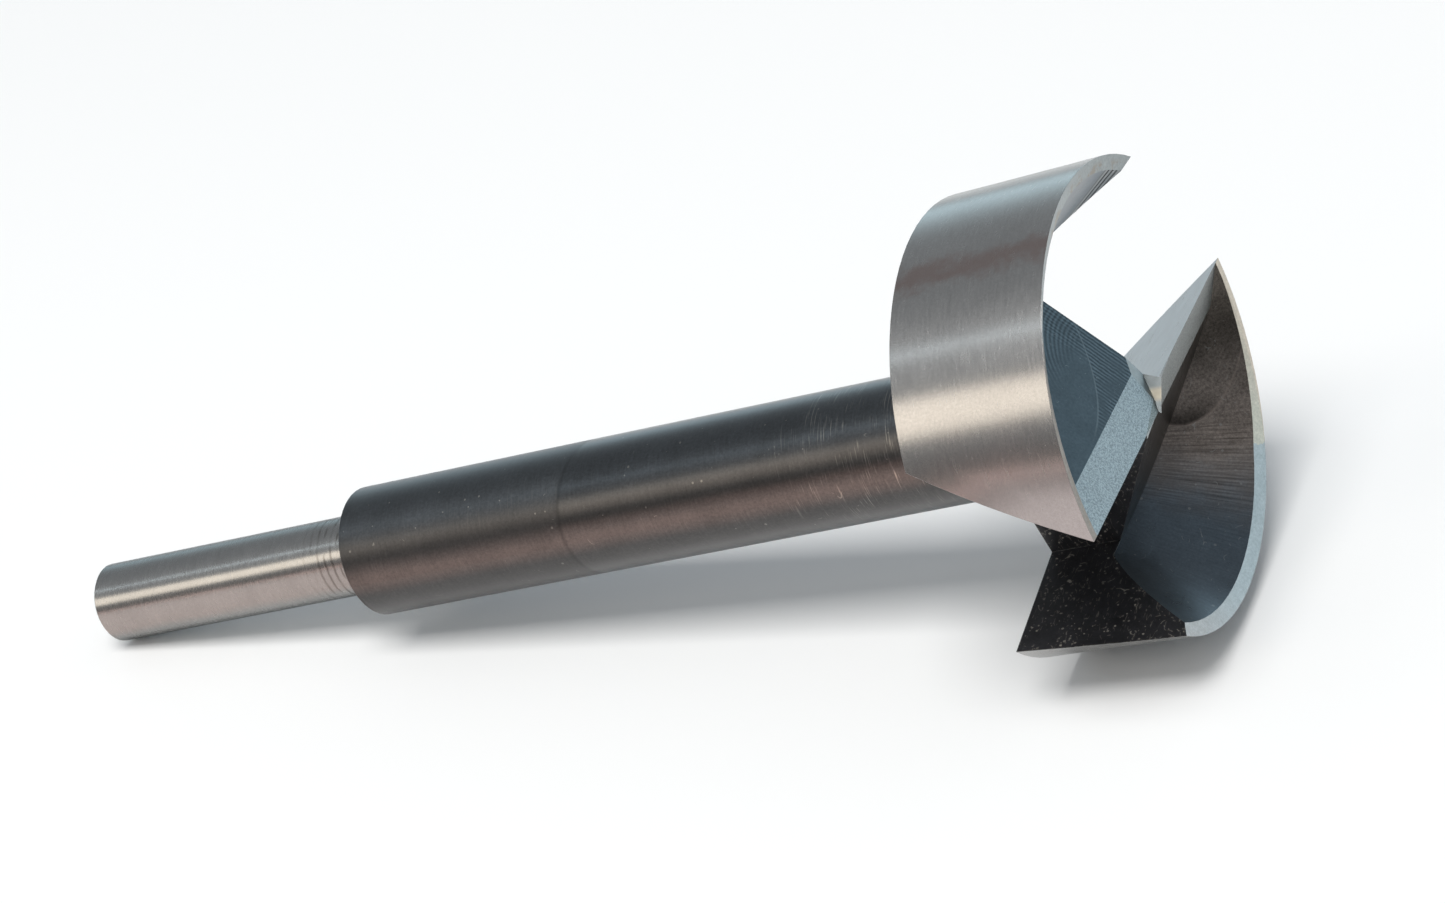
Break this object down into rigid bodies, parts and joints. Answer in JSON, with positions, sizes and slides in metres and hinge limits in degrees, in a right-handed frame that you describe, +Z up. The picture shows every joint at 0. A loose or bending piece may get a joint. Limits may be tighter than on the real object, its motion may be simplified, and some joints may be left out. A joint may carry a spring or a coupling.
{
  "type": "forstner bit",
  "caption": "Steel wood-boring bit with a slim round shank, a thick neck and a wide round head of ground wings, rims and open throats, for clean flat-bottomed holes.",
  "frame": {"origin": "middle of the bounding box on the surface that the bit lies on", "axes": "+X from the shank to the cutting face, +Z up, with the bit lying on its side on an edge of the shank and the back edge of one wing"},
  "size_m": [0.1522, 0.0544, 0.0564],
  "materials": {
    "ground_steel": "ground bare steel, satin on the neck and brighter on the shank and rims"
  },
  "bodies": {
    "root": {"forstner_bit": "ground_steel"}
  },
  "joints": []
}
